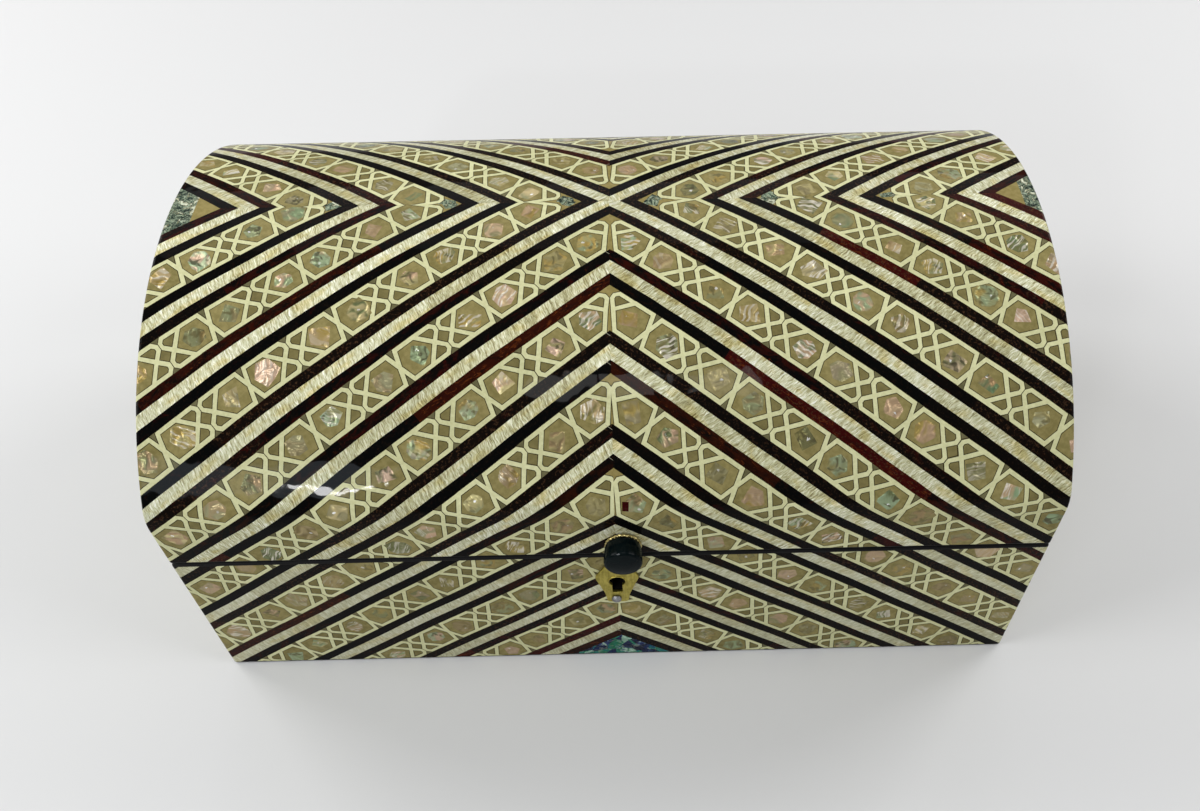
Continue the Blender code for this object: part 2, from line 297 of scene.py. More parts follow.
def clip(outline, planes):
    """Cut an outline down to the inside of half-planes, each given as (x, y, reach) of its outward normal."""
    for n_x, n_y, reach in planes:
        gaps = [n_x * x + n_y * y - reach for x, y in outline]
        if max(gaps) <= 0:
            continue
        if min(gaps) >= 0:
            return []
        kept = []
        for index, (point, gap) in enumerate(zip(outline, gaps)):
            before, gap_before = outline[index - 1], gaps[index - 1]
            if (gap > 0) != (gap_before > 0):
                share = gap_before / (gap_before - gap)
                kept.append((before[0] + (point[0] - before[0]) * share,
                             before[1] + (point[1] - before[1]) * share))
            if gap <= 0:
                kept.append(point)
        outline = kept
    return outline if len(outline) > 2 else []


def planes_of(outline):
    """The half-planes of a convex outline that runs anticlockwise."""
    planes = []
    for index, (x, y) in enumerate(outline):
        x0, y0 = outline[index - 1]
        length = math.hypot(x - x0, y - y0)
        if length > DRAWING_MERGE:
            n_x, n_y = (y - y0) / length, (x0 - x) / length
            planes.append((n_x, n_y, n_x * x + n_y * y))
    return planes


def area(outline):
    """Signed area of an outline."""
    return sum(outline[i - 1][0] * y - x * outline[i - 1][1] for i, (x, y) in enumerate(outline)) / 2


def grow(outline, widths):
    """Move each side of a convex outline outwards by its own width; a negative width moves it in."""
    turn = 1 if area(outline) > 0 else -1
    count = len(outline)
    lines = []
    for index in range(count):
        x0, y0 = outline[index]
        x1, y1 = outline[(index + 1) % count]
        length = math.hypot(x1 - x0, y1 - y0)
        n_x, n_y = turn * (y1 - y0) / length, turn * (x0 - x1) / length
        lines.append((n_x, n_y, n_x * x0 + n_y * y0 + widths[index]))
    corners = []
    for index in range(count):
        a, b = lines[index - 1], lines[index]
        cross = a[0] * b[1] - a[1] * b[0]
        corners.append(((a[2] * b[1] - a[1] * b[2]) / cross, (a[0] * b[2] - a[2] * b[0]) / cross))
    return corners


# The cells of one half of a motif: u runs away from the blunt crossing, v down from the upper border
CROSS_SPREAD = 1.7
SHARP_U = 13.7
TURN_U = 8.86
CORNER_U = 15.1
POST_U = 16.3
CORNER_V = 1.36
POST_V = 2.8
HEXAGON = [(0.0, BAND_MIDDLE), (CROSS_SPREAD, 0.0), (TURN_U, 0.0), (SHARP_U, BAND_MIDDLE),
           (TURN_U, BAND_HEIGHT), (CROSS_SPREAD, BAND_HEIGHT)]
UPPER_KITE = [(TURN_U, 0.0), (CORNER_U, 0.0), (POST_U, CORNER_V), (POST_U, POST_V), (SHARP_U, BAND_MIDDLE)]
LOWER_KITE = [(u, BAND_HEIGHT - v) for u, v in UPPER_KITE]


def reach_at(start, end, v):
    """Where the line through two points reaches a height v."""
    return start[0] + (end[0] - start[0]) * (v - start[1]) / (end[1] - start[1])


def open_triangle(middle, foot_half, foot_v, tip_v):
    """A triangle that points into the band. Its foot goes on from the band's edge to under the dark strip."""
    longer = 1 + UNDERLAP / abs(tip_v - foot_v)
    foot_half, foot_v = foot_half * longer, tip_v + (foot_v - tip_v) * longer
    return [(middle - foot_half, foot_v), (middle + foot_half, foot_v), (middle, tip_v)]


CROSS_FOOT = -reach_at((0.0, BAND_MIDDLE), (-CROSS_SPREAD, 0.0), -BORDER_IN)
NOTCH_FOOT = SEAM_U - reach_at((CORNER_U, 0.0), (POST_U, CORNER_V), -BORDER_IN)
NOTCH_TIP = CORNER_V * (SEAM_U - CORNER_U) / (POST_U - CORNER_U)
DIAMOND_HALF = (BAND_MIDDLE - POST_V) * (SEAM_U - SHARP_U) / (POST_U - SHARP_U)
DIAMOND = [(SHARP_U, BAND_MIDDLE), (SEAM_U, BAND_MIDDLE - DIAMOND_HALF),
           (2 * SEAM_U - SHARP_U, BAND_MIDDLE), (SEAM_U, BAND_MIDDLE + DIAMOND_HALF)]


class Drawing:
    """Patches of inlay on one unrolled face. A later patch lies over an earlier one."""

    def __init__(self, seed, planes):
        self.dice = random.Random(seed)
        self.planes = planes
        self.patches = []

    def quadrant(self, side, face, centre):
        """Choose the quarter of the pattern that the next patches belong to."""
        self.side, self.face, self.centre = side, face, centre
        x, s = centre
        self.limits = self.planes + [(-side, 0.0, -side * x), (0.0, -face, -face * s)]

    def to_face(self, u, w):
        """From band coordinates to the unrolled face, with the slight unevenness of work by hand."""
        x = self.centre[0] + self.side * (u * math.cos(SLANT) - w * math.sin(SLANT))
        s = self.centre[1] + self.face * (u * math.sin(SLANT) + w * math.cos(SLANT))
        sway_x = HAND_SWAY * math.sin(x * 0.11 + s * 0.07)
        sway_s = HAND_SWAY * math.sin(s * 0.09 - x * 0.08 + 2.0)
        shake_x = HAND_SHAKE * math.sin(x * 0.9 + 1.7 * math.sin(s * 0.5))
        shake_s = HAND_SHAKE * math.sin(s * 1.1 + 1.3 * math.sin(x * 0.6))
        return x + (sway_x + shake_x), s + (sway_s + shake_s)

    def lay(self, kind, outline, tint, grain=0.0):
        """Add a patch given in band coordinates. grain turns its own axis away from the band's."""
        flat = clip([self.to_face(u, w) for u, w in outline], self.limits)
        if not flat:
            return
        middle_u = sum(u for u, w in outline) / len(outline)
        middle_w = sum(w for u, w in outline) / len(outline)
        middle = self.to_face(middle_u, middle_w)
        angle = math.atan2(self.face * math.sin(SLANT), self.side * math.cos(SLANT)) + grain
        self.patches.append((kind, flat, tint, middle, angle))

    def tint(self):
        """Three random shares that give a patch its own look."""
        return (self.dice.random(), self.dice.random(), self.dice.random())


def strip_pieces(drawing, kind, low, high, start, end, shortest, longest):
    """Lay a strip between two w values as pieces of random length."""
    step = math.floor(start / STRIP_STEP)
    last = math.ceil(end / STRIP_STEP)
    while step < last:
        length = drawing.dice.randint(shortest, longest)
        stop = min(step + length, last)
        there = [(index * STRIP_STEP, low) for index in range(step, stop + 1)]
        back = [(index * STRIP_STEP, high) for index in range(stop, step - 1, -1)]
        drawing.lay(kind, there + back, drawing.tint())
        step = stop


def strip_reach(w, extent):
    """The stretch of u in which a strip at w can lie inside its quadrant."""
    half_width, depth = extent
    start = max(w * math.tan(SLANT), -w / math.tan(SLANT)) - PERIOD / 2
    across = (half_width + w * math.sin(SLANT)) / math.cos(SLANT)
    down = (depth - w * math.cos(SLANT)) / math.sin(SLANT)
    return start, min(across, down) + PERIOD / 2


def chip_outline(dice, u, w):
    """A small piece of shell with four to seven uneven corners."""
    corners = dice.choice(CHIP_CORNERS)
    radius = dice.uniform(*CHIP_RADIUS)
    turn = dice.uniform(0, math.tau)
    u += dice.uniform(-CHIP_ASIDE[0], CHIP_ASIDE[0])
    w += dice.uniform(-CHIP_ASIDE[1], CHIP_ASIDE[1])
    outline = []
    for index in range(corners):
        angle = turn + math.tau * (index + dice.uniform(-CHIP_UNEVEN, CHIP_UNEVEN)) / corners
        reach = radius * dice.uniform(*CHIP_REACH)
        outline.append((u + reach * math.cos(angle), w + reach * math.sin(angle)))
    return outline


def cell(drawing, kind, outline, tint, sides=None):
    """A cell's ground with its thin dark outline, set in from the middle of the pale lines."""
    sides = sides or [1] * len(outline)
    drawing.lay("outline", grow(outline, [-LINE_HALF * side for side in sides]), tint)
    drawing.lay(kind, grow(outline, [-(LINE_HALF + OUTLINE) * side for side in sides]), tint)


def motif(drawing, blunt, top, left_cells):
    """One star motif: two hexagons with chips and their small cells, round the blunt crossing."""
    dice = drawing.dice

    def placed(outline, hand):
        return [(blunt + hand * u, top + v) for u, v in outline]

    frame_tint = drawing.tint()
    cells = []
    for hand in (-1, 1):
        for name, outline in (("hexagon", HEXAGON), ("upper", UPPER_KITE), ("lower", LOWER_KITE)):
            if hand == 1 or name in left_cells:
                cells.append((name, placed(outline, hand)))
    for name, outline in cells:
        widths = []
        for index, (_u, v) in enumerate(outline):
            next_v = outline[(index + 1) % len(outline)][1]
            on_border = abs(v - next_v) < DRAWING_MERGE and not 0.0 < v - top < BAND_HEIGHT
            widths.append(BORDER_IN + UNDERLAP if on_border else LINE_HALF + OUTLINE)
        drawing.lay("outline", grow(outline, widths), frame_tint)
    for name, outline in cells:
        drawing.lay("cream", grow(outline, [LINE_HALF] * len(outline)), frame_tint)
    for name, outline in cells:
        cell(drawing, "tan" if name == "hexagon" else "olive", outline, drawing.tint())
    band_low = -BORDER_IN
    band_high = BAND_HEIGHT + BORDER_IN
    for foot_v, tip_v in ((band_low, BAND_MIDDLE), (band_high, BAND_MIDDLE)):
        triangle = open_triangle(0.0, CROSS_FOOT, foot_v, tip_v)
        cell(drawing, "grey", placed(triangle, 1), drawing.tint(), (0, 1, 1))
    cell(drawing, "olive", placed(DIAMOND, 1), drawing.tint())
    for foot_v, tip_v in ((band_low, NOTCH_TIP), (band_high, BAND_HEIGHT - NOTCH_TIP)):
        triangle = open_triangle(SEAM_U, NOTCH_FOOT, foot_v, tip_v)
        cell(drawing, "grey", placed(triangle, 1), drawing.tint(), (0, 1, 1))
    for hand in (-1, 1):
        outline = chip_outline(dice, blunt + hand * CHIP_U, top + BAND_MIDDLE)
        drawing.lay("chip", outline, drawing.tint(), dice.uniform(0, math.pi))


def tip_corner(u, w):
    """The resin in the inner corner of a ridge triangle, which has its tip at (u, w), cut off square."""
    cos, sin = math.cos(SLANT), math.sin(SLANT)
    corners = ((-TIP_FILLER, -TIP_FILLER), (TIP_FILLER, -TIP_FILLER), (TIP_FILLER, TIP_FILLER),
               (-TIP_FILLER, TIP_FILLER))
    return [(u + x * cos + s * sin, w - x * sin + s * cos) for x, s in corners]


def star_band(drawing, number, extent, shift):
    """One band of star motifs between two black strips."""
    low = number * PERIOD + BLACK_EDGE
    high = low + BAND_HEIGHT + 2 * BORDER_IN
    start, end = strip_reach(low if number >= 0 else high, extent)
    far_end = max(end, strip_reach(high, extent)[1])
    plain = drawing.tint()
    under_low, under_high = low - UNDERLAP, high + UNDERLAP
    whole = [(start, under_low), (far_end, under_low), (far_end, under_high), (start, under_high)]
    if number >= FRONT_LAST or number <= RIDGE_LAST:
        drawing.lay("mottled", whole, (1.0 if number > 0 else 0.0, plain[1], plain[2]))
        if number < 0:
            drawing.lay("filler", tip_corner(-high / math.tan(SLANT), high), plain)
        return
    if number >= 0:
        blunt = FIRST_FRONT + FIRST_FRONT_STEP * number - shift
        left_cells = ("hexagon", "upper")
    else:
        blunt = FIRST_SIDE * -number - shift
        left_cells = ("hexagon", "lower")
    blunt += drawing.dice.uniform(-FIRST_UNEVEN, FIRST_UNEVEN)
    drawing.lay("grey", whole, plain)
    filler_end = blunt - TURN_U
    drawing.lay("filler", [(start, under_low), (filler_end, under_low), (filler_end, under_high),
                           (start, under_high)], plain)
    if number < 0:
        tip = (blunt - SEAM_U - TIP_CHIP[0], high - TIP_CHIP[1])
        own = drawing.tint()
        drawing.lay("mottled", chip_outline(drawing.dice, *tip), (own[0] * TIP_CHIP_BLUE, own[1], own[2]))
    top = low + BORDER_IN
    while blunt - SEAM_U < far_end:
        motif(drawing, blunt, top, left_cells)
        left_cells = ("hexagon", "upper", "lower")
        blunt += UNIT + drawing.dice.uniform(-UNIT_UNEVEN, UNIT_UNEVEN)


def mitre(drawing, number):
    """A thin line of old glue where two dark strips meet at an apex."""
    x, s = drawing.centre
    apex = s + drawing.face * number * PERIOD / math.cos(SLANT)
    for edge in (-BLACK_EDGE, PEARL_HALF):
        if drawing.dice.random() < GLUE_SHARE:
            foot = apex + drawing.face * (edge + GLUE_ACROSS * (BLACK_EDGE - PEARL_HALF)) / math.cos(SLANT)
            end_x = x + drawing.side * GLUE_REACH
            end_s = foot - drawing.face * GLUE_REACH * math.tan(SLANT)
            line = [(x, foot), (end_x, end_s), (end_x, end_s + GLUE_WIDTH), (x, foot + GLUE_WIDTH)]
            flat = clip(line if area(line) > 0 else line[::-1], drawing.limits)
            if flat:
                drawing.patches.append(("glue", flat, drawing.tint(), (x, foot), 0.0))


def inlay(drawing, first, last, extent, shift):
    """All strips and bands of one quadrant."""
    for number in range(first, last + 1):
        star_band(drawing, number, extent, shift * (0.6 + 0.4 * math.sin(number * 2.1)))
    for number in range(first, last + 2):
        middle = number * PERIOD
        start, end = strip_reach(middle, extent)
        for low, high in ((-BLACK_EDGE, -PEARL_HALF), (PEARL_HALF, BLACK_EDGE)):
            strip_pieces(drawing, "dark", middle + low, middle + high, start, end, *DARK_STEPS)
        strip_pieces(drawing, "pearl", middle - PEARL_HALF, middle + PEARL_HALF, start, end, *PEARL_STEPS)
        if number > 0 and drawing.side < 0:
            mitre(drawing, number)


def holds(outline, place):
    """Whether a place lies inside an outline: a level line from it crosses an odd number of sides."""
    x, y = place
    inside = False
    for (x_1, y_1), (x_2, y_2) in zip(outline, outline[1:] + outline[:1]):
        if (y_1 > y) != (y_2 > y) and x < x_1 + (x_2 - x_1) * (y - y_1) / (y_2 - y_1):
            inside = not inside
    return inside


def cut_mesh(border, lines, patches):
    """Cut one flat face into triangles along every outline. Gives points, triangles and each one's patch."""
    points, edges, faces = [], [], []

    def add_face(outline):
        if area(outline) < 0:
            outline = outline[::-1]
        faces.append(list(range(len(points), len(points) + len(outline))))
        points.extend(Vector(point) for point in outline)

    add_face(border)
    for start, end in lines:
        edges.append((len(points), len(points) + 1))
        points.extend((Vector(start), Vector(end)))
    for patch in patches:
        add_face(patch[1])
    made = delaunay_2d_cdt(points, edges, faces, 0, DRAWING_MERGE, True)
    placed = np.array([tuple(point) for point in made[0]])
    triangles, owners = [], []
    for triangle, sources in zip(made[2], made[5]):
        if 0 not in sources:
            continue
        middle = placed[list(triangle)].mean(axis=0)
        found = [index - 1 for index in sources if index and holds(patches[index - 1][1], middle)]
        owner = max(found, default=-1)
        if owner < 0 or patches[owner][0] != "hole":
            triangles.append(tuple(triangle))
            owners.append(owner)
    return placed, triangles, owners


SLOTS = ["edge", "pearl", "dark", "cream", "outline", "tan", "olive", "grey", "filler", "chip", "mottled",
         "glue", "wood", "under"]
EDGE_PATCH = ("edge", [], NEUTRAL, (0.0, 0.0), 0.0)
TURNS = ((1, 1), (-1, 1), (-1, -1), (1, -1))


class Skin:
    """One closed mesh made of rolled faces and plain inner faces."""

    def __init__(self, name):
        self.name = name
        self.work = bmesh.new()
        self.soft = self.work.verts.layers.float_vector.new("soft_normal")
        self.tint = self.work.loops.layers.float_color.new("tint")
        self.grain = self.work.loops.layers.float_vector.new("grain")
        self.smooth = self.work.faces.layers.int.new("rolled")

    def add_rolled(self, border, lines, patches, roll):
        """Cut a flat face, roll it and add it. roll gives places and normals for flat points."""
        points, triangles, owners = cut_mesh(border, lines, patches)
        places, normals = roll(points)
        verts = []
        for place, normal in zip(places, normals):
            vert = self.work.verts.new(place * MM)
            vert[self.soft] = normal
            verts.append(vert)
        seen = set()
        for triangle, owner in zip(triangles, owners):
            if frozenset(triangle) in seen:
                continue
            seen.add(frozenset(triangle))
            corners = places[list(triangle)]
            crosses = np.cross(corners[1:-1] - corners[0], corners[2:] - corners[0]).sum(0)
            if np.dot(crosses, normals[list(triangle)].sum(0)) < 0:
                triangle = triangle[::-1]
            kind, _outline, tint, middle, angle = patches[owner] if owner >= 0 else EDGE_PATCH
            face = self.work.faces.new([verts[index] for index in triangle])
            face.material_index = SLOTS.index(kind)
            face.smooth = True
            face[self.smooth] = 1
            cos, sin = math.cos(angle), math.sin(angle)
            for loop, index in zip(face.loops, triangle):
                x, y = points[index][0] - middle[0], points[index][1] - middle[1]
                loop[self.tint] = (*tint, 1.0)
                loop[self.grain] = (x * cos + y * sin, y * cos - x * sin, GRAIN_SEEDS * tint[2])

    def add_plain(self, kind, corners):
        """Add one flat face by its corners, in millimetres."""
        face = self.work.faces.new([self.work.verts.new(Vector(corner) * MM) for corner in corners])
        face.material_index = SLOTS.index(kind)
        for loop in face.loops:
            loop[self.tint] = (*NEUTRAL, 1.0)
            loop[self.grain] = loop.vert.co / MM

    def four_faces(self, kind, first, second, facing):
        """Four faces between two level rectangles, each given as (half width, half depth, height)."""
        for index, turn in enumerate(TURNS):
            after = TURNS[(index + 1) % 4]
            corners = []
            for (across, deep, z), (x, y) in ((first, turn), (first, after), (second, after), (second, turn)):
                corners.append((across * x, deep * y, z))
            self.add_plain(kind, corners if facing > 0 else corners[::-1])

    def finish(self, materials, sink):
        """Weld the faces and make the object, with the rolled faces' own normals. sink deepens the hole."""
        work = self.work
        bmesh.ops.remove_doubles(work, verts=work.verts, dist=WELD)
        spare = [face for face in work.faces
                 if face.calc_area() < FLAT_AREA and any(len(edge.link_faces) > 2 for edge in face.edges)]
        bmesh.ops.delete(work, geom=spare, context="FACES")
        if sink is not None:
            rim = [edge for edge in work.edges if edge.is_boundary]
            made = bmesh.ops.extrude_edge_only(work, edges=rim)["geom"]
            sunk = [item for item in made if isinstance(item, bmesh.types.BMVert)]
            walls = [item for item in made if isinstance(item, bmesh.types.BMFace)]
            bmesh.ops.translate(work, verts=sunk, vec=sink)
            rim = [edge for edge in work.edges if edge.is_boundary]
            for face in bmesh.ops.edgeloop_fill(work, edges=rim)["faces"] + walls:
                face.material_index = SLOTS.index("under")
                face.smooth = False
                face[self.smooth] = 0
        mesh = bpy.data.meshes.new(self.name)
        work.normal_update()
        normals = []
        for face in work.faces:
            for loop in face.loops:
                normals.append(loop.vert[self.soft].copy() if face[self.smooth] else face.normal.copy())
        work.to_mesh(mesh)
        work.free()
        mesh.normals_split_custom_set([normal.normalized() for normal in normals])
        mesh.attributes.remove(mesh.attributes["soft_normal"])
        mesh.attributes.remove(mesh.attributes["rolled"])
        for kind in SLOTS:
            mesh.materials.append(materials[kind])
        return add_object(self.name, mesh)


def sorted_marks(marks):
    """Marks in order, without those that fall together."""
    kept = []
    for mark in sorted(float(mark) for mark in marks):
        if not kept or mark - kept[-1] > DRAWING_MERGE:
            kept.append(mark)
    return kept


def end_edge(section, s):
    """The end wall's edge at s, as (y, s on the end wall): the section moved in by the rounded edge."""
    y, z, n_y, n_z = section_at(section, s)
    return np.stack([y - n_y * EDGE_ROUND, END_APEX_Z - z + n_z * EDGE_ROUND], -1)


def sheet_marks(patches, side):
    """Where patches of a sheet meet the end wall on one side, as values of s."""
    return [s for patch in patches for x, s in patch[1] if abs(side * x - SHEET_END) < DRAWING_MERGE]


def end_marks(patches, section):
    """Where patches of an end wall meet its edge, as values of the section's s."""
    corners = np.array([point for patch in patches for point in patch[1]])
    stations = end_edge(section, section[:, 0])
    start, along = stations[:-1], np.diff(stations, axis=0)
    length = np.maximum((along ** 2).sum(1), 1e-12)
    marks = []
    for corner in corners:
        share = ((corner - start) * along).sum(1) / length
        gap = np.abs((corner[0] - start[:, 0]) * along[:, 1] - (corner[1] - start[:, 1]) * along[:, 0])
        gap = gap / np.sqrt(length)
        near = (gap < DRAWING_MERGE) & (share > -SLACK) & (share < 1 + SLACK) & (length > SLACK)
        for index in np.flatnonzero(near)[:1]:
            marks.append(section[index, 0] + share[index] * (section[index + 1, 0] - section[index, 0]))
    return marks


def sheet_patches(seed, start, end, shift):
    """The inlay of a front, back or roof sheet, between two values of s."""
    planes = [(1.0, 0.0, SHEET_END), (-1.0, 0.0, SHEET_END), (0.0, 1.0, end), (0.0, -1.0, -start)]
    drawing = Drawing(seed, planes)
    for face in (-1, 1):
        depth = face * (end if face > 0 else start)
        if depth <= 0:
            continue
        for side in (-1, 1):
            drawing.quadrant(side, face, (CENTRE_X, CENTRE_S))
            inlay(drawing, RIDGE_LAST, FRONT_LAST, (SHEET_END + CENTRE_X, depth + CENTRE_S), shift)
    return drawing.patches


def end_patches(seed, outline, depth, shift):
    """The inlay of an end wall inside a convex outline: chevrons like the front's."""
    drawing = Drawing(seed, planes_of(outline if area(outline) > 0 else outline[::-1]))
    for side in (-1, 1):
        drawing.quadrant(side, 1, (0.0, 0.0))
        inlay(drawing, END_FIRST, END_LAST, (HALF_DEPTH, depth), shift)
    return drawing.patches


def sheet_lines(section):
    """Cuts across a sheet where it bends."""
    lines = [((-SHEET_END, s), (SHEET_END, s)) for s in section[1:-1, 0]]
    for step in range(ROUND_STEPS):
        x = FLAT_HALF_WIDTH + ROUND_ARC * step / ROUND_STEPS
        for side in (-1, 1):
            lines.append(((side * x, section[0, 0]), (side * x, section[-1, 0])))
    return lines


def sheet_border(section, left_marks, right_marks):
    """A sheet's outline, with the marks on its two ends."""
    right = sorted_marks(list(section[:, 0]) + right_marks)
    left = sorted_marks(list(section[:, 0]) + left_marks)
    return [(SHEET_END, s) for s in right] + [(-SHEET_END, s) for s in reversed(left)]


def round_strip(start_s, way):
    """Steps of s over a rounded edge of an end wall, away from start_s."""
    return [start_s + way * ROUND_ARC * step / ROUND_STEPS for step in range(1, ROUND_STEPS + 1)]


def keyhole(middle_s):
    """The keyhole's outline on the unrolled front."""
    corner = math.asin(KEYHOLE_SLOT_HALF / KEYHOLE_RADIUS)
    outline = []
    for step in range(KEYHOLE_STEPS + 1):
        angle = math.pi / 2 + corner + (math.tau - 2 * corner) * step / KEYHOLE_STEPS
        x = PLATE_X + KEYHOLE_RADIUS * math.cos(angle)
        outline.append((x, middle_s + KEYHOLE_RADIUS * math.sin(angle)))
    foot = middle_s + KEYHOLE_SLOT_LENGTH
    return outline + [(PLATE_X + KEYHOLE_SLOT_HALF, foot), (PLATE_X - KEYHOLE_SLOT_HALF, foot)]


def make_lid_skin(materials):
    """The domed cover: one sheet over front, roof and back, two end walls, and the hollow below."""
    skin = Skin("lid_inlay")
    rows = lid_rows()
    section = np.concatenate([back_section(rows)[:-1], front_section(rows)])
    bend = section[ROUND_STEPS:-ROUND_STEPS]
    low = LID_BOTTOM + EDGE_ROUND
    sheet = sheet_patches(LID_SHEET_SEED, bend[0, 0], bend[-1, 0], 0.0)
    sheet.append(("dark", RED_BIT, (1.0, 0.5, 0.0), RED_BIT[0], 0.0))
    edge = [tuple(point) for point in end_edge(bend, bend[:, 0])]
    marks = {}
    for side in (-1, 1):
        ends = end_patches(LID_END_SEED + side, edge, END_APEX_Z - low, 0.0)
        marks[side] = sheet_marks(sheet, side) + end_marks(ends, bend)
        upper = end_edge(bend, np.array(sorted_marks(list(bend[:, 0]) + marks[side])))
        border = [tuple(point) for point in upper]
        down = round_strip(END_APEX_Z - low, 1)
        border += [(-FLAT_HALF_DEPTH, s) for s in down] + [(FLAT_HALF_DEPTH, s) for s in reversed(down)]
        cuts = [END_APEX_Z - low] + down[:-1]
        lines = [((-FLAT_HALF_DEPTH, s), (FLAT_HALF_DEPTH, s)) for s in cuts]
        skin.add_rolled(border, lines, ends, lambda p, side=side: on_end(p, side, low, HEIGHT))
    skin.add_rolled(sheet_border(section, marks[-1], marks[1]), sheet_lines(section), sheet,
                    lambda p: on_sheet(p, section))
    add_lid_hollow(skin)
    return skin.finish(materials, None)


def inner_section(bottom):
    """The hollow's outline under the dome as (y, z) points from the front's foot to the back's."""
    across, rise = ACROSS - CROWN, RISE - CROWN
    half_depth = HALF_DEPTH - WALL
    sweep = math.asin(half_depth / across)
    start = sweep - SHOULDER_ROUND / across

    def dome(angle):
        return Vector((across * math.sin(angle), DOME_MIDDLE + rise * math.cos(angle)))

    corner = dome(sweep)
    first = Vector((half_depth, corner.y - SHOULDER_ROUND))
    half = [(half_depth, bottom)]
    for step in range(SHOULDER_STEPS + 1):
        t = step / SHOULDER_STEPS
        half.append(tuple(first * (1 - t) ** 2 + corner * 2 * t * (1 - t) + dome(start) * t ** 2))
    for step in range(1, DOME_STEPS // 2):
        half.append(tuple(dome(start * (1 - 2 * step / DOME_STEPS))))
    ridge = [tuple(dome(0.0))]
    return [(-y, z) for y, z in half] + ridge + half[::-1]


def add_lid_hollow(skin):
    """The lid's lower rim, the rebate for the lip and the hollow."""
    outer = (FLAT_HALF_WIDTH, FLAT_HALF_DEPTH)
    hollow = (HALF_WIDTH - WALL, HALF_DEPTH - WALL)
    rebate = (hollow[0] + LIP_WIDTH + LIP_FIT, hollow[1] + LIP_WIDTH + LIP_FIT)
    ceiling = BASE_HEIGHT + LIP_HEIGHT + LIP_FIT
    skin.four_faces("wood", (*outer, LID_BOTTOM), (*rebate, LID_BOTTOM), -1)
    skin.four_faces("wood", (*rebate, LID_BOTTOM), (*rebate, ceiling), -1)
    skin.four_faces("wood", (*rebate, ceiling), (*hollow, ceiling), -1)
    points = inner_section(ceiling)
    for index in range(1, len(points)):
        (y0, z0), (y1, z1) = points[index - 1], points[index]
        x = hollow[0]
        skin.add_plain("wood", [(-x, y1, z1), (x, y1, z1), (x, y0, z0), (-x, y0, z0)])
    for side in (-1, 1):
        cap = [(side * hollow[0], y, z) for y, z in points]
        skin.add_plain("wood", cap if side > 0 else cap[::-1])


def make_base_skin(materials):
    """The lower box: front and back sheets, two end walls, rim, lip, inside and underside."""
    skin = Skin("base_inlay")
    rows = base_rows()
    low, high = EDGE_ROUND, BASE_HEIGHT - EDGE_ROUND
    sections = [front_section(rows), back_section(rows)]
    walls = [section[ROUND_STEPS:-ROUND_STEPS] for section in sections]
    sheets = []
    for seed, wall in zip(BASE_SHEET_SEEDS, walls):
        sheets.append(sheet_patches(seed, wall[0, 0], wall[-1, 0], BASE_SHIFT))
    hole_s = wall_s(KEYHOLE_Z)
    left, right = PLATE_X - PLAIN_HALF, PLATE_X + PLAIN_HALF
    upper, lower = hole_s - PLAIN_HALF, hole_s + PLAIN_FOOT
    plain = [(left, upper), (right, upper), (right, lower), (left, lower)]
    sheets[0].append(("under", plain, NEUTRAL, (0.0, 0.0), 0.0))
    sheets[0].append(("hole", keyhole(hole_s), NEUTRAL, (0.0, 0.0), 0.0))
    top_s, foot_s = END_APEX_Z - high, END_APEX_Z - low
    half = FLAT_HALF_DEPTH
    end_wall = [(-half, top_s), (half, top_s), (half, foot_s), (-half, foot_s)]
    marks = {}
    for side in (-1, 1):
        ends = end_patches(BASE_END_SEED + side, end_wall, foot_s, BASE_SHIFT)
        border = []
        for face, (wall, sheet) in enumerate(zip(walls, sheets)):
            marks[side, face] = sheet_marks(sheet, side) + end_marks(ends, wall)
            values = sorted_marks(list(wall[:, 0]) + marks[side, face])
            border.append([tuple(point) for point in end_edge(wall, np.array(values))])
        up, down = round_strip(top_s, -1), round_strip(foot_s, 1)
        outline = border[0] + [(-half, s) for s in down] + [(half, s) for s in reversed(down)]
        outline += border[1] + [(half, s) for s in up] + [(-half, s) for s in reversed(up)]
        lines = [((-half, s), (half, s)) for s in [top_s, foot_s] + up[:-1] + down[:-1]]
        skin.add_rolled(outline, lines, ends, lambda p, side=side: on_end(p, side, low, high))
    for face, (section, sheet) in enumerate(zip(sections, sheets)):
        skin.add_rolled(sheet_border(section, marks[-1, face], marks[1, face]), sheet_lines(section), sheet,
                        lambda p, section=section: on_sheet(p, section))
    add_base_inside(skin)
    return skin.finish(materials, Vector((0.0, KEYHOLE_DEPTH * MM, 0.0)))


def add_base_inside(skin):
    """The base's rim, lip, inner walls, floor and underside."""
    outer = (FLAT_HALF_WIDTH, FLAT_HALF_DEPTH)
    inner = (HALF_WIDTH - WALL, HALF_DEPTH - WALL)
    lip = (inner[0] + LIP_WIDTH, inner[1] + LIP_WIDTH)
    lip_top = BASE_HEIGHT + LIP_HEIGHT
    skin.four_faces("wood", (*outer, BASE_HEIGHT), (*lip, BASE_HEIGHT), 1)
    skin.four_faces("wood", (*lip, BASE_HEIGHT), (*lip, lip_top), 1)
    skin.four_faces("wood", (*lip, lip_top), (*inner, lip_top), 1)
    skin.four_faces("wood", (*inner, FLOOR), (*inner, lip_top), -1)
    x, y = inner
    skin.add_plain("wood", [(x, y, FLOOR), (-x, y, FLOOR), (-x, -y, FLOOR), (x, -y, FLOOR)])
    x, y = outer
    skin.add_plain("under", [(x, y, 0.0), (x, -y, 0.0), (-x, -y, 0.0), (-x, y, 0.0)])


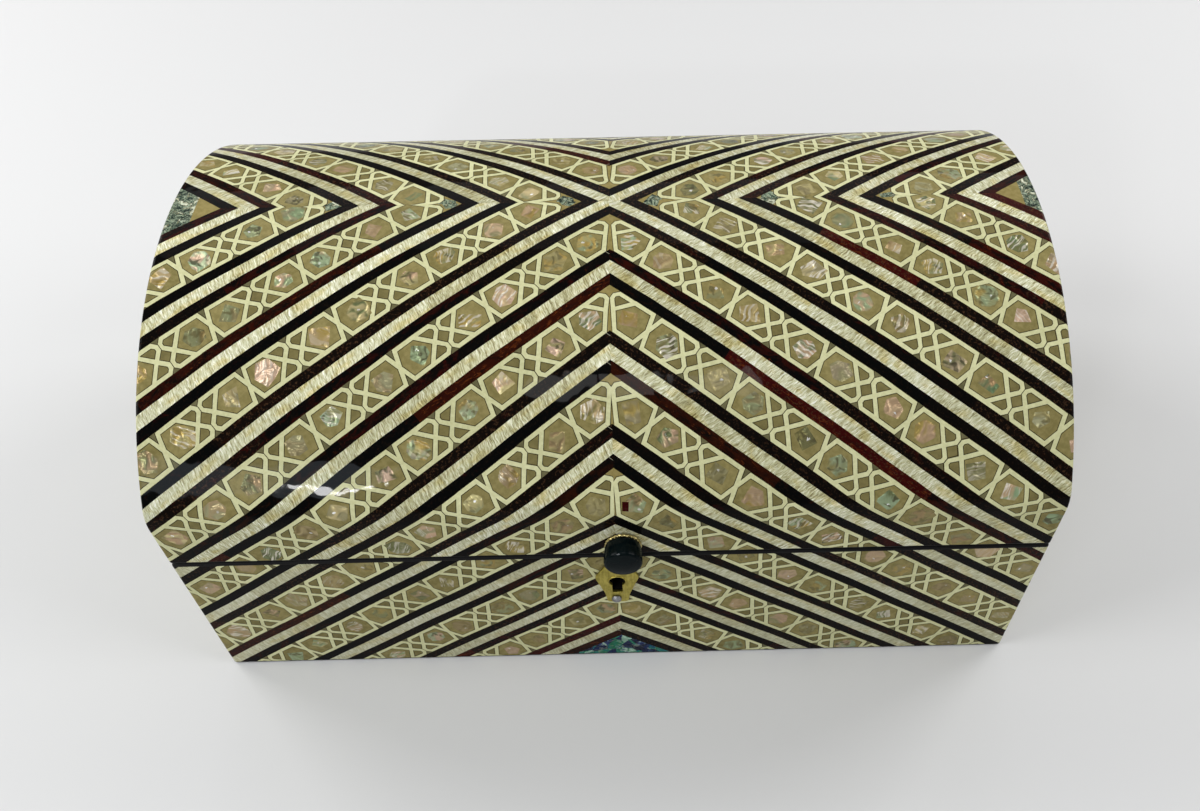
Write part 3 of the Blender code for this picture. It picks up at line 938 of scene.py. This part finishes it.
def tube_along(name, path, radius, twist, material):
    """A closed tube round a closed path in a plane of constant y, with twisted strands if twist is set."""
    work = bmesh.new()
    count = len(path)
    rings = []
    for index, (x, y, z) in enumerate(path):
        ahead, behind = path[(index + 1) % count], path[index - 1]
        along = Vector((ahead[0] - behind[0], 0.0, ahead[2] - behind[2])).normalized()
        out = Vector((along.z, 0.0, -along.x))
        ring = []
        for step in range(TUBE_SIDES):
            angle = math.tau * step / TUBE_SIDES
            wave = math.cos(2 * angle - math.tau * twist * index / count)
            reach = radius * (1 - ROPE_GROOVE * (1 - wave) / 2 if twist else 1.0)
            place = Vector((x, y, z)) + out * reach * math.cos(angle)
            ring.append(work.verts.new((place + Vector((0, reach * math.sin(angle), 0))) * MM))
        rings.append(ring)
    for index in range(count):
        a, b = rings[index], rings[(index + 1) % count]
        for step in range(TUBE_SIDES):
            after = (step + 1) % TUBE_SIDES
            work.faces.new((a[step], b[step], b[after], a[after])).smooth = True
    bmesh.ops.recalc_face_normals(work, faces=work.faces)
    mesh = bpy.data.meshes.new(name)
    work.to_mesh(mesh)
    work.free()
    mesh.materials.append(material)
    return add_object(name, mesh)


def make_rope(material):
    """The twisted ring between the knob and the lid."""
    low, high = (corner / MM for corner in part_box("knob_ring"))
    middle = (low + high) / 2
    reach = (high.x - low.x) / 2 - ROPE_RADIUS
    path = []
    for step in range(ROPE_STEPS):
        angle = math.tau * step / ROPE_STEPS
        path.append((middle.x + reach * math.cos(angle), middle.y, middle.z + reach * math.sin(angle)))
    return tube_along("knob_rope", path, ROPE_RADIUS, ROPE_TURNS, material)


def make_keyhole_lip(material):
    """The rolled lip round the keyhole in the plate."""
    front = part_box("keyhole_plate")[0].y / MM
    middle_s = wall_s(KEYHOLE_Z)
    hole = [(x, KEYHOLE_Z - (s - middle_s)) for x, s in keyhole(middle_s)]
    outline = grow(hole, [LIP_RADIUS] * len(hole))
    path = []
    for index, (x, z) in enumerate(outline):
        before_x, before_z = outline[index - 1]
        steps = max(1, round(math.hypot(x - before_x, z - before_z) / LIP_STEP))
        for step in range(1, steps + 1):
            share = step / steps
            path.append((before_x + (x - before_x) * share, front, before_z + (z - before_z) * share))
    return tube_along("keyhole_lip", path, LIP_RADIUS, 0, material)


def linear(code):
    """A colour written as sRGB hex, in linear values."""
    values = [int(code[index:index + 2], 16) / 255 for index in (1, 3, 5)]
    return [v / 12.92 if v <= 0.04045 else ((v + 0.055) / 1.055) ** 2.4 for v in values] + [1.0]


class Look:
    """A material's node tree, with short calls that add and join nodes."""

    def __init__(self, name):
        self.material = bpy.data.materials.new(name)
        self.material.use_nodes = True
        self.tree = self.material.node_tree
        self.shader = self.tree.nodes["Principled BSDF"]

    def put(self, socket, value):
        """Join a node's output to a socket, or set the socket to a number, a vector or a hex colour."""
        if isinstance(value, bpy.types.NodeSocket):
            self.tree.links.new(value, socket)
        else:
            socket.default_value = linear(value) if isinstance(value, str) else value

    def node(self, kind, inputs, **settings):
        made = self.tree.nodes.new(kind)
        for name, value in settings.items():
            setattr(made, name, value)
        for key, value in inputs.items():
            self.put(made.inputs[key], value)
        return made

    def set(self, **values):
        """Set the shader's inputs. An underscore stands for a space."""
        for name, value in values.items():
            self.put(self.shader.inputs[name.replace("_", " ")], value)

    def math(self, operation, a, b=0.0):
        return self.node("ShaderNodeMath", {0: a, 1: b}, operation=operation).outputs[0]

    def plus(self, a, b):
        return self.math("ADD", a, b)

    def times(self, a, b):
        return self.math("MULTIPLY", a, b)

    def from_middle(self, share, factor):
        """A share's distance from a half, times a factor."""
        return self.times(self.math("SUBTRACT", share, 0.5), factor)

    def length(self, a, b):
        """How long an arrow of two parts is."""
        return self.math("SQRT", self.plus(self.math("POWER", a, 2.0), self.math("POWER", b, 2.0)))

    def fit(self, value, low, high, to_low=0.0, to_high=1.0):
        """Map a value from one range to another, smoothly and within its ends."""
        made = self.node("ShaderNodeMapRange", {0: value, 1: low, 2: high, 3: to_low, 4: to_high},
                         interpolation_type="SMOOTHSTEP")
        return made.outputs[0]

    def mix(self, share, a, b, blend="MIX"):
        made = self.node("ShaderNodeMix", {0: share, 6: a, 7: b}, data_type="RGBA", blend_type=blend)
        return made.outputs[2]

    def ramp(self, share, stops):
        """A colour ramp through (position, hex colour) stops."""
        made = self.node("ShaderNodeValToRGB", {0: share})
        ramp = made.color_ramp
        while len(ramp.elements) < len(stops):
            ramp.elements.new(0.5)
        for element, (position, code) in zip(ramp.elements, stops):
            element.position = position
            element.color = linear(code)
        return made.outputs[0]

    def attribute(self, name):
        return self.node("ShaderNodeAttribute", {}, attribute_name=name)

    def parts(self, vector):
        return self.node("ShaderNodeSeparateXYZ", {0: vector}).outputs

    def joined(self, x, y, z):
        return self.node("ShaderNodeCombineXYZ", {0: x, 1: y, 2: z}).outputs[0]

    def stretch(self, vector, scale, shift=(0.0, 0.0, 0.0)):
        made = self.node("ShaderNodeVectorMath", {0: vector, 1: scale, 2: shift}, operation="MULTIPLY_ADD")
        return made.outputs[0]

    def noise(self, vector, scale=1.0, detail=2.0, roughness=0.5, distortion=0.0):
        made = self.node("ShaderNodeTexNoise", {"Vector": vector, "Scale": scale, "Detail": detail,
                                                "Roughness": roughness, "Distortion": distortion})
        return made.outputs["Fac"]

    def bump(self, height, distance, strength=1.0):
        inputs = {"Height": height, "Distance": distance, "Strength": strength}
        return self.node("ShaderNodeBump", inputs).outputs[0]

    def object_place(self):
        return self.node("ShaderNodeTexCoord", {}).outputs["Object"]


class Inlay(Look):
    """A patch of inlay under the clear lacquer.

    tint holds three random shares, grain a place in millimetres, painted_haze_on_base whether the patch is on
    the base, where a painted haze of shade and lacquer reflection washes the colours greyer and flatter.
    """

    def __init__(self, name):
        super().__init__(name)
        self.tint = self.parts(self.attribute("tint").outputs["Color"])
        self.grain = self.attribute("grain").outputs["Vector"]
        place = self.object_place()
        # Mask of the base, where a painted haze of shade and lacquer reflection greys the inlay.
        self.painted_haze_on_base = self.math("LESS_THAN", self.parts(place)[2], LID_BOTTOM * MM)
        swell = self.noise(place, 55.0, 2.0, 0.45)
        self.set(Coat_Weight=0.42, Coat_Roughness=0.035, Coat_IOR=1.2, Specular_IOR_Level=0.0)
        self.set(Coat_Normal=self.bump(swell, 0.00045))

    def tilted(self, amount, height=None, distance=0.0):
        """Lean each piece's own face a little its own way, over a bump."""
        normal = self.node("ShaderNodeNewGeometry", {}).outputs["Normal"]
        if height is not None:
            normal = self.bump(height, distance, 1.0)
        lean = self.stretch(self.joined(*self.tint[:3]), (amount,) * 3, (-amount / 2,) * 3)
        total = self.node("ShaderNodeVectorMath", {0: normal, 1: lean}, operation="ADD").outputs[0]
        self.set(Normal=self.node("ShaderNodeVectorMath", {0: total}, operation="NORMALIZE").outputs[0])


def ground_look(name, dark, light, spread):
    """The resin paste between the pale lines."""
    look = Inlay(name)
    cloud = look.noise(look.grain, 0.5, 3.0, 0.6)
    grit = look.noise(look.grain, 3.2, 2.0, 0.7)
    share = look.plus(look.times(look.fit(cloud, 0.3, 0.7), 0.6), look.times(look.tint[0], spread))
    colour = look.mix(share, dark, light)
    speck = look.fit(grit, 0.62, 0.75, 1.0, 0.82)
    look.set(Base_Color=look.mix(1.0, colour, look.joined(speck, speck, speck), "MULTIPLY"), Roughness=0.5)
    return look.material


def cream_look():
    """The pale lines of the stars."""
    look = Inlay("inlay_cream")
    cloud = look.noise(look.grain, 0.8, 3.0, 0.6)
    share = look.plus(look.times(look.fit(cloud, 0.25, 0.75), 0.55), look.times(look.tint[0], 0.45))
    look.set(Base_Color=look.mix(share, "#BBBA8D", "#D6D5A8"), Roughness=0.45)
    return look.material


def pearl_look():
    """Strips of mother-of-pearl with fine uneven ridges across them. Their colour follows the relief: partly
    the pearl's own striations, partly painted shade in the grooves and painted highlight on the ridge tops.
    """
    look = Inlay("inlay_pearl")
    x, y, seed = look.parts(look.grain)[:3]
    drift = look.noise(look.stretch(look.grain, (0.35, 0.35, 1.0)), 1.0, 2.0, 0.5)
    across = look.plus(x, look.plus(look.times(y, 0.3), look.times(drift, 1.6)))
    ridge_at = look.joined(across, look.times(y, 0.13), seed)
    ridges = look.noise(ridge_at, 1.9, 3.0, 0.6, 0.35)
    fine = look.noise(ridge_at, 4.6, 2.0, 0.6)
    zone = look.noise(look.stretch(look.grain, (0.12, 0.3, 1.0)), 1.0, 2.0, 0.5)
    relief = look.plus(look.times(ridges, 0.58), look.times(fine, 0.42))
    ridges_and_painted_highlight = look.plus(relief, look.from_middle(look.tint[1], 0.07))
    # Dark grooves and near-white ridge tops: partly the pearl's own striations, partly painted shade and
    # painted highlight.
    colour = look.ramp(look.fit(ridges_and_painted_highlight, 0.32, 0.69), [(0.0, "#7E7654"), (0.2, "#A9A47A"), (0.48, "#C7C6A0"),
                                                   (0.75, "#DCDCBE"), (1.0, "#FBFBF0")])
    gold = look.mix(1.0, colour, "#F0E2B4", "MULTIPLY")
    colour = look.mix(look.fit(zone, 0.48, 0.7, 0.0, 0.75), colour, gold)
    # Painted haze: on the base the pearl is washed towards a flat grey-beige, standing for shade and lacquer
    # reflection.
    look.set(Base_Color=look.mix(look.times(look.painted_haze_on_base, 0.35), colour, "#BEBDA4"))
    look.set(Roughness=0.3, Metallic=0.3)
    look.tilted(0.16, relief, 0.0006)
    return look.material


def dark_look():
    """Near-black strips, some of them mottled with red and amber like tortoiseshell."""
    look = Inlay("inlay_dark")
    at = look.stretch(look.grain, (0.16, 0.42, 1.0))
    cloud = look.noise(at, 1.0, 5.0, 0.68, 0.8)
    spots = look.noise(at, 2.3, 4.0, 0.7, 1.2)
    amount = look.math("POWER", look.tint[0], 3.2)
    brown = look.fit(look.plus(cloud, look.times(amount, 0.34)), 0.58, 0.84)
    amber = look.fit(look.plus(spots, look.times(amount, 0.16)), 0.69, 0.82)
    base = look.mix(look.tint[1], "#060707", "#100B08")
    deep = look.mix(look.tint[2], "#330808", "#271006")
    colour = look.mix(brown, base, deep)
    most = look.fit(look.tint[1], 0.3, 0.8, 0.1, 0.9)
    speck = look.fit(look.noise(look.grain, 1.2, 3.0, 0.65), 0.52, 0.68, 0.0, most)
    colour = look.mix(speck, colour, "#402C1E")
    look.set(Base_Color=look.mix(look.times(amber, 0.8), colour, "#5C2C12"), Roughness=0.35)
    return look.material


def chip_colour(look, folds, ribs):
    """Two colours of abalone that meet along the folds, with dark clouds and pale ribs."""
    one, two, three = look.tint[:3]
    own = look.ramp(one, [(0.0, "#A28560"), (0.1, "#CBAE98"), (0.2, "#8F8A66"), (0.3, "#93AC86"),
                          (0.4, "#5A6444"), (0.5, "#7C7448"), (0.6, "#BC9F56"), (0.7, "#93793F"),
                          (0.8, "#B8BC9C"), (0.9, "#6A5334"), (1.0, "#C6A284")])
    other = look.ramp(two, [(0.0, "#5E7A58"), (0.25, "#BE9C84"), (0.5, "#C8BC86"), (0.75, "#5C5838"),
                            (1.0, "#A6C09C")])
    colour = look.mix(look.fit(folds, 0.36, 0.6), own, other)
    shade = look.fit(look.noise(look.grain, 0.3, 1.0, 0.5, 0.8), 0.34, 0.48, 0.8, 0.0)
    colour = look.mix(look.times(shade, look.fit(two, 0.4, 0.7)), colour, "#3A382C")
    light = look.times(look.fit(ribs, 0.48, 0.62), look.fit(three, 0.6, 0.85, 0.0, 0.75))
    return look.mix(light, colour, "#E6DFD0")


def chip_painted_glint(look, x, y):
    """The share of a painted highlight: a small bright spot that only some of the chips get."""
    one, two, three = look.tint[:3]
    reach = look.length(look.plus(x, look.from_middle(one, 3.4)), look.plus(y, look.from_middle(two, 3.4)))
    ragged = look.noise(look.stretch(look.grain, (0.5, 1.3, 1.0)), 1.0, 3.0, 0.6)
    reach = look.plus(reach, look.times(ragged, 3.4))
    return look.times(look.fit(reach, 1.7, 2.2, 1.0, 0.0), look.fit(three, 0.3, 0.45, 1.0, 0.0))


def chip_sunk(look, x, y):
    """How much resin lies over the chip: most at its edge, and some all over. On the base a painted haze of
    shade and reflection fades the chips further into the resin's colour.
    """
    one, two, three = look.tint[:3]
    gap = look.plus(look.length(x, y), look.times(look.noise(look.grain, 0.5, 2.0, 0.5), 1.8))
    inner = look.plus(look.times(two, 0.9), 3.3)
    soft = look.fit(gap, inner, 5.2, 0.0, look.fit(three, 0.2, 0.9, 1.0, 0.2))
    sunk = look.plus(look.fit(one, 0.2, 0.9, 0.1, 0.5), look.times(look.painted_haze_on_base, 0.25))
    return look.math("MAXIMUM", soft, sunk)


def chip_look():
    """A small piece of abalone half sunk in the resin, with uneven soft edges, bright folds and, on some
    chips, a painted highlight.
    """
    look = Inlay("inlay_chip")
    x, y, seed = look.parts(look.grain)[:3]
    wave = look.noise(look.stretch(look.grain, (0.25, 0.25, 1.0)), 1.0, 1.0, 0.5)
    ribs_at = look.joined(look.plus(x, look.times(wave, 3.0)), look.times(y, 0.12), seed)
    ribs = look.noise(ribs_at, 1.3, 1.0, 0.5)
    folds = look.noise(look.grain, 0.22, 1.0, 0.5, 0.8)
    # Painted highlight: a near-white spot mixed into the chip's colour.
    colour = look.mix(chip_painted_glint(look, x, y), chip_colour(look, folds, ribs), "#FBFBFA")
    look.set(Base_Color=look.mix(chip_sunk(look, x, y), colour, "#877D50"))
    look.set(Roughness=0.27, Metallic=0.3)
    look.tilted(0.3, look.plus(folds, look.times(ribs, 0.12)), 0.0014)
    return look.material


def mottled_look():
    """Abalone for the triangles: greens and silver, and more blue where the first tint is high."""
    look = Inlay("inlay_mottled")
    is_blue = look.fit(look.tint[0], 0.45, 0.55)
    finer = look.fit(look.tint[0], 0.45, 0.55, 1.0, 0.6)
    calm = look.fit(look.tint[0], 0.45, 0.55, 0.75, 0.3)
    cloud = look.fit(look.noise(look.grain, look.times(finer, 0.3), 3.0, 0.62, 0.7), 0.36, 0.64)
    veins = look.noise(look.stretch(look.grain, (0.5, 0.8, 1.0)), finer, 3.0, 0.6, 1.0)
    green = look.ramp(cloud, [(0.0, "#1A2620"), (0.22, "#3D5142"), (0.4, "#A7B396"), (0.55, "#5E7360"),
                              (0.7, "#2C3B34"), (0.85, "#8C8A66"), (1.0, "#D2D6BE")])
    worn = look.from_middle(cloud, 0.3)
    block_at = look.stretch(look.grain, (0.17, 0.26, 1.0), (0.3, 0.1, 0.0))
    blocks = look.node("ShaderNodeTexVoronoi", {"Vector": block_at, "Scale": 1.0, "Randomness": 0.8})
    blue = look.ramp(look.plus(look.parts(blocks.outputs["Color"])[0], worn), [
        (0.0, "#10172C"), (0.28, "#1A2850"), (0.42, "#17506A"), (0.52, "#2C7E70"), (0.64, "#1E6A48"),
        (0.74, "#A9C8B4"), (0.82, "#2C3E74"), (1.0, "#141C38")])
    colour = look.mix(is_blue, green, blue)
    colour = look.mix(look.fit(veins, 0.56, 0.66, 0.0, calm), colour, "#C0CCB2")
    colour = look.mix(look.fit(veins, 0.34, 0.42, calm, 0.0), colour, "#12181A")
    look.set(Base_Color=colour, Roughness=0.3, Metallic=0.3)
    look.tilted(0.1, look.plus(cloud, veins), 0.0008)
    return look.material


def plain_look(name, code, roughness, coat=0.0):
    """A surface of one colour with a faint unevenness."""
    look = Look(name)
    cloud = look.noise(look.object_place(), 160.0, 3.0, 0.6)
    colour = look.mix(look.fit(cloud, 0.3, 0.7), [v * 0.86 for v in linear(code)[:3]] + [1.0], code)
    look.set(Base_Color=colour, Roughness=roughness, Specular_IOR_Level=0.2)
    look.set(Coat_Weight=coat, Coat_Roughness=0.04)
    return look.material


def knob_look():
    """Polished black with a cold tint, fine wiping marks and a few dull spots."""
    look = Look("knob_black")
    place = look.object_place()
    cloud = look.noise(place, 240.0, 3.0, 0.6)
    marks = look.noise(look.stretch(place, (1400.0, 160.0, 1400.0)), 1.0, 3.0, 0.6)
    look.set(Base_Color=look.mix(cloud, "#04080A", "#0A1516"))
    look.set(Roughness=look.fit(marks, 0.35, 0.75, 0.15, 0.26), Specular_IOR_Level=0.06)
    look.set(Normal=look.bump(look.noise(place, 300.0, 2.0, 0.5), 0.0001, 0.4))
    return look.material


def metal_look(name, dark, light, spot, roughness, drawn):
    """Old metal with drawn streaks, cloudy tarnish and dark spots. drawn stretches the streaks."""
    look = Look(name)
    place = look.object_place()
    streaks = look.noise(look.stretch(place, drawn), 1.0, 4.0, 0.65)
    cloud = look.noise(place, 380.0, 4.0, 0.65, 0.6)
    streaky, cloudy = look.fit(streaks, 0.35, 0.65), look.fit(cloud, 0.35, 0.65)
    share = look.plus(look.times(streaky, 0.55), look.times(cloudy, 0.45))
    colour = look.mix(share, dark, light)
    spots = look.fit(look.noise(place, 900.0, 3.0, 0.7), 0.62, 0.7, 0.0, 0.7)
    look.set(Base_Color=look.mix(spots, colour, spot), Metallic=1.0)
    look.set(Roughness=look.fit(cloud, 0.3, 0.7, roughness, roughness + 0.16))
    look.set(Normal=look.bump(streaks, 0.00006, 0.7))
    return look.material


def wood_look(name, dark, light):
    """Stained wood with its grain along the box's width."""
    look = Look(name)
    place = look.stretch(look.object_place(), (9.0, 90.0, 90.0))
    rings = look.noise(place, 1.0, 4.0, 0.6, 0.8)
    pores = look.noise(look.stretch(look.object_place(), (60.0, 1100.0, 1100.0)), 1.0, 2.0, 0.6)
    colour = look.mix(look.fit(rings, 0.35, 0.65), dark, light)
    colour = look.mix(look.fit(pores, 0.6, 0.7, 0.0, 0.5), colour, dark)
    look.set(Base_Color=colour, Roughness=0.45, Normal=look.bump(pores, 0.0002, 0.6))
    return look.material


GROUNDS = {"outline": ("#2E2816", "#453D27", 0.4), "tan": ("#736A40", "#918657", 0.4),
           "olive": ("#68603C", "#7E754B", 0.4), "grey": ("#5A573C", "#706B4C", 0.4),
           "filler": ("#7E7241", "#988A59", 0.2)}


def inlay_materials():
    """One material for each kind of patch."""
    materials = {
        "edge": plain_look("inlay_edge", "#040303", 0.6),
        "pearl": pearl_look(),
        "dark": dark_look(),
        "cream": cream_look(),
        "chip": chip_look(),
        "mottled": mottled_look(),
        "glue": plain_look("inlay_glue", "#A9A58E", 0.4, 1.0),
        "wood": wood_look("stained_wood", "#1E100A", "#3A2113"),
        "under": plain_look("dark_underside", "#120E0C", 0.8),
    }
    for kind, (dark, light, spread) in GROUNDS.items():
        materials[kind] = ground_look("inlay_" + kind, dark, light, spread)
    return materials


def make_camera():
    """The photograph's viewing angle, worked out from the box's corners and seam."""
    data = bpy.data.cameras.new("photo_view")
    camera = add_object("photo_view", data)
    ahead = Vector((math.sin(YAW) * math.cos(PITCH), math.cos(YAW) * math.cos(PITCH), -math.sin(PITCH)))
    right = Vector((math.cos(YAW), -math.sin(YAW), 0.0))
    up = right.cross(ahead)
    right, up = (math.cos(ROLL) * right + math.sin(ROLL) * up, math.cos(ROLL) * up - math.sin(ROLL) * right)
    turn = Matrix((right, up, -ahead)).transposed().to_4x4()
    camera.matrix_world = Matrix.Translation(Vector(CAMERA_PLACE) * MM) @ turn
    data.sensor_width = 36.0
    data.lens = LENS
    data.shift_x, data.shift_y = LENS_SHIFT
    bpy.context.scene.camera = camera


def area_light(name, direction, distance, size, power, colour):
    """A soft rectangular lamp that faces the box from a direction."""
    data = bpy.data.lights.new(name, "AREA")
    data.shape = "RECTANGLE"
    data.size, data.size_y = size
    data.energy = power
    data.color = colour
    lamp = add_object(name, data)
    away = Vector(direction).normalized()
    lamp.location = away * distance + Vector((0.0, 0.0, HEIGHT * MM / 2))
    lamp.rotation_euler = away.to_track_quat("Z", "Y").to_euler()


def make_studio():
    """A pale floor, soft lamps and an even sky."""
    bpy.ops.mesh.primitive_plane_add(size=6.0, location=(0.0, 0.0, 0.0))
    floor = bpy.context.object
    floor.name = "floor"
    floor_look = Look("pale_floor")
    floor_look.set(Base_Color=linear("#D4D4D4"), Roughness=0.8)
    floor.data.materials.append(floor_look.material)
    world = bpy.context.scene.world or bpy.data.worlds.new("sky")
    bpy.context.scene.world = world
    world.use_nodes = True
    sky = world.node_tree.nodes["Background"]
    sky.inputs["Color"].default_value = (1.0, 1.0, 1.0, 1.0)
    sky.inputs["Strength"].default_value = 0.2
    for lamp in LAMPS:
        area_light(*lamp)
    bpy.context.scene.view_settings.view_transform = "Standard"


def main():
    make_camera()
    make_studio()
    materials = inlay_materials()
    for piece, node in ((make_lid_skin(materials), "lid"), (make_base_skin(materials), "base")):
        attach(piece, BODY)
        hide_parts(node)
    brass = metal_look("plate_brass", "#8F8236", "#C4B65E", "#4A401C", 0.3, (900.0, 900.0, 120.0))
    gold = metal_look("rope_brass", "#857540", "#D6C68A", "#3A2E14", 0.24, (500.0, 500.0, 500.0))
    steel = metal_look("pin_steel", "#6E6E70", "#A6A6A8", "#3C3A38", 0.36, (700.0, 700.0, 700.0))
    rope, lip = make_rope(gold), make_keyhole_lip(brass)
    for piece in (rope, lip):
        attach(piece, BODY)
    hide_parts("knob_ring")
    for node, material in (("knob", knob_look()), ("keyhole_plate", brass), ("plate_pin", steel)):
        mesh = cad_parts[node].data
        mesh.materials.clear()
        mesh.materials.append(material)
    bpy.context.view_layer.update()


main()
